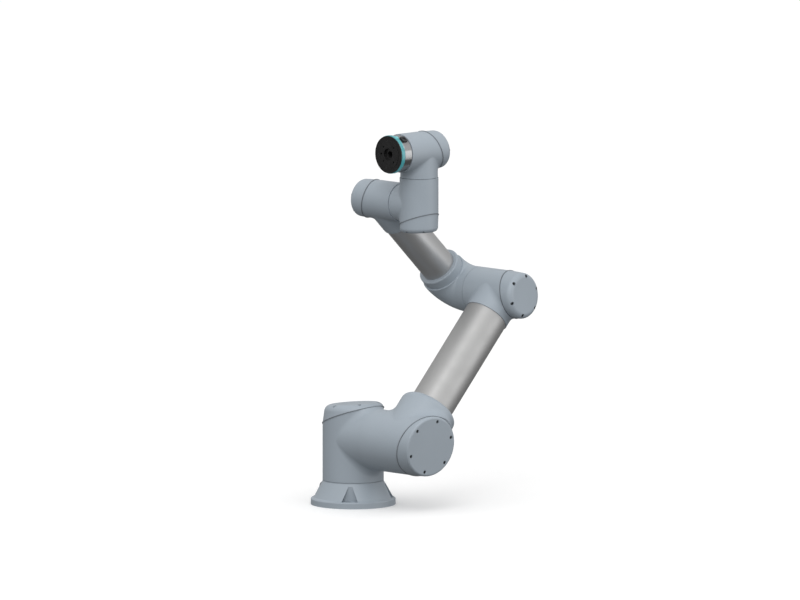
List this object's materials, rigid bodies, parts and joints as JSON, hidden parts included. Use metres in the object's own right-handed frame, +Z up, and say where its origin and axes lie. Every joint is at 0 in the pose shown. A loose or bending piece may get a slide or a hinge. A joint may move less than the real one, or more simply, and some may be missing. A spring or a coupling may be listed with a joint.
{
  "type": "collaborative robot arm",
  "caption": "Jointed collaborative robot arm on a flared round base, with slanted-cap drive housings, two metal tubes and a bolt-on tool flange.",
  "frame": {"origin": "centre of the base bolt circle on the underside of the base", "axes": "+Z up along the shoulder turn axis; shoulder lift, elbow and wrist 1 axes along Y with the upper arm on the -Y side; the tool axis points to -X at rest"},
  "size_m": [0.4803, 0.3989, 0.9276],
  "materials": {
    "housing_paint": "satin powder coat, grey-blue",
    "tube_metal": "brushed, clear anodised",
    "seal_rubber": "matte",
    "screw_steel": "blackened",
    "gear_steel": "machined",
    "stator_iron": "laminated",
    "board": "solder mask",
    "flange_black": "black anodised",
    "ring_polished": "polished",
    "led_ring": "translucent teal",
    "connector_black": "moulded"
  },
  "bodies": {
    "base": {"base_casting": "housing_paint", "base_connector": "connector_black", "joint_1_output_flange": "gear_steel"},
    "shoulder": {"shoulder_housing": "housing_paint", "shoulder_cap": "housing_paint", "shoulder_cap_seals": "seal_rubber", "shoulder_cap_screws": "screw_steel", "joint_1_gear_ring": "gear_steel", "joint_1_motor_stator": "stator_iron", "joint_1_drive_board": "board", "joint_2_output_flange": "gear_steel"},
    "upper_arm": {"upper_arm_base_housing": "housing_paint", "upper_arm_base_cap": "housing_paint", "upper_arm_tube": "tube_metal", "elbow_housing": "housing_paint", "elbow_cap": "housing_paint", "upper_arm_cap_seals": "seal_rubber", "upper_arm_cap_screws": "screw_steel", "joint_2_gear_ring": "gear_steel", "joint_2_motor_stator": "stator_iron", "joint_2_drive_board": "board", "joint_3_gear_ring": "gear_steel", "joint_3_motor_stator": "stator_iron", "joint_3_drive_board": "board"},
    "forearm": {"forearm_elbow": "housing_paint", "forearm_tube": "tube_metal", "wrist_1_housing": "housing_paint", "wrist_1_cap": "housing_paint", "forearm_cap_seals": "seal_rubber", "forearm_cap_screws": "screw_steel", "joint_3_output_flange": "gear_steel", "joint_4_gear_ring": "gear_steel", "joint_4_motor_stator": "stator_iron", "joint_4_drive_board": "board"},
    "wrist_2": {"wrist_2_housing": "housing_paint", "wrist_2_cap": "housing_paint", "wrist_2_cap_seals": "seal_rubber", "wrist_2_cap_screws": "screw_steel", "joint_4_output_flange": "gear_steel", "joint_5_gear_ring": "gear_steel", "joint_5_motor_stator": "stator_iron", "joint_5_drive_board": "board"},
    "wrist_3": {"wrist_3_housing": "housing_paint", "wrist_3_cap": "housing_paint", "wrist_3_cap_seals": "seal_rubber", "wrist_3_cap_screws": "screw_steel", "joint_5_output_flange": "gear_steel", "joint_6_gear_ring": "gear_steel", "joint_6_motor_stator": "stator_iron", "joint_6_drive_board": "board"},
    "tool": {"tool_flange": "flange_black", "tool_ring": "ring_polished", "tool_led_ring": "led_ring", "tool_connector": "connector_black"},
    "rotor_1": {"joint_1_rotor": "gear_steel"},
    "rotor_2": {"joint_2_rotor": "gear_steel"},
    "rotor_3": {"joint_3_rotor": "gear_steel"},
    "rotor_4": {"joint_4_rotor": "gear_steel"},
    "rotor_5": {"joint_5_rotor": "gear_steel"},
    "rotor_6": {"joint_6_rotor": "gear_steel"}
  },
  "joints": [
    {"name": "shoulder_turn", "type": "hinge", "parent": "base", "child": "shoulder", "pos_m": [0, 0, 0.1665], "axis": [0, 0, 1], "range_deg": [-175, 175]},
    {"name": "rotor_1_spin", "type": "hinge", "parent": "shoulder", "child": "rotor_1", "pos_m": [0, 0, 0.1665], "axis": [0, 0, 1], "continuous": true},
    {"name": "shoulder_lift", "type": "hinge", "parent": "shoulder", "child": "upper_arm", "pos_m": [0, -0.192, 0.1665], "axis": [0, 1, 0], "range_deg": [-217.5, 132.5]},
    {"name": "rotor_2_spin", "type": "hinge", "parent": "upper_arm", "child": "rotor_2", "pos_m": [0, -0.192, 0.1665], "axis": [0, 1, 0], "continuous": true},
    {"name": "elbow_bend", "type": "hinge", "parent": "upper_arm", "child": "forearm", "pos_m": [0.31764, -0.1, 0.50952], "axis": [0, 1, 0], "range_deg": [-42, 235]},
    {"name": "rotor_3_spin", "type": "hinge", "parent": "upper_arm", "child": "rotor_3", "pos_m": [0.31764, -0.1, 0.50952], "axis": [0, 1, 0], "continuous": true},
    {"name": "wrist_1_turn", "type": "hinge", "parent": "forearm", "child": "wrist_2", "pos_m": [0.0678, -0.101, 0.74744], "axis": [0, 1, 0], "range_deg": [-175, 175]},
    {"name": "rotor_4_spin", "type": "hinge", "parent": "forearm", "child": "rotor_4", "pos_m": [0.0678, -0.101, 0.74744], "axis": [0, 1, 0], "continuous": true},
    {"name": "wrist_2_turn", "type": "hinge", "parent": "wrist_2", "child": "wrist_3", "pos_m": [0.0678, -0.161, 0.74744], "axis": [0, 0, 1], "range_deg": [-175, 175]},
    {"name": "rotor_5_spin", "type": "hinge", "parent": "wrist_2", "child": "rotor_5", "pos_m": [0.0678, -0.161, 0.74744], "axis": [0, 0, 1], "continuous": true},
    {"name": "wrist_3_turn", "type": "hinge", "parent": "wrist_3", "child": "tool", "pos_m": [0.0678, -0.161, 0.87894], "axis": [-1, 0, 0], "range_deg": [-175, 175]},
    {"name": "rotor_6_spin", "type": "hinge", "parent": "wrist_3", "child": "rotor_6", "pos_m": [0.0678, -0.161, 0.87894], "axis": [-1, 0, 0], "continuous": true}
  ],
  "couplings": [
    {"joint": "rotor_1_spin", "follows": "shoulder_turn", "ratio": 101},
    {"joint": "rotor_2_spin", "follows": "shoulder_lift", "ratio": 101},
    {"joint": "rotor_3_spin", "follows": "elbow_bend", "ratio": -101},
    {"joint": "rotor_4_spin", "follows": "wrist_1_turn", "ratio": -101},
    {"joint": "rotor_5_spin", "follows": "wrist_2_turn", "ratio": -101},
    {"joint": "rotor_6_spin", "follows": "wrist_3_turn", "ratio": -101}
  ]
}
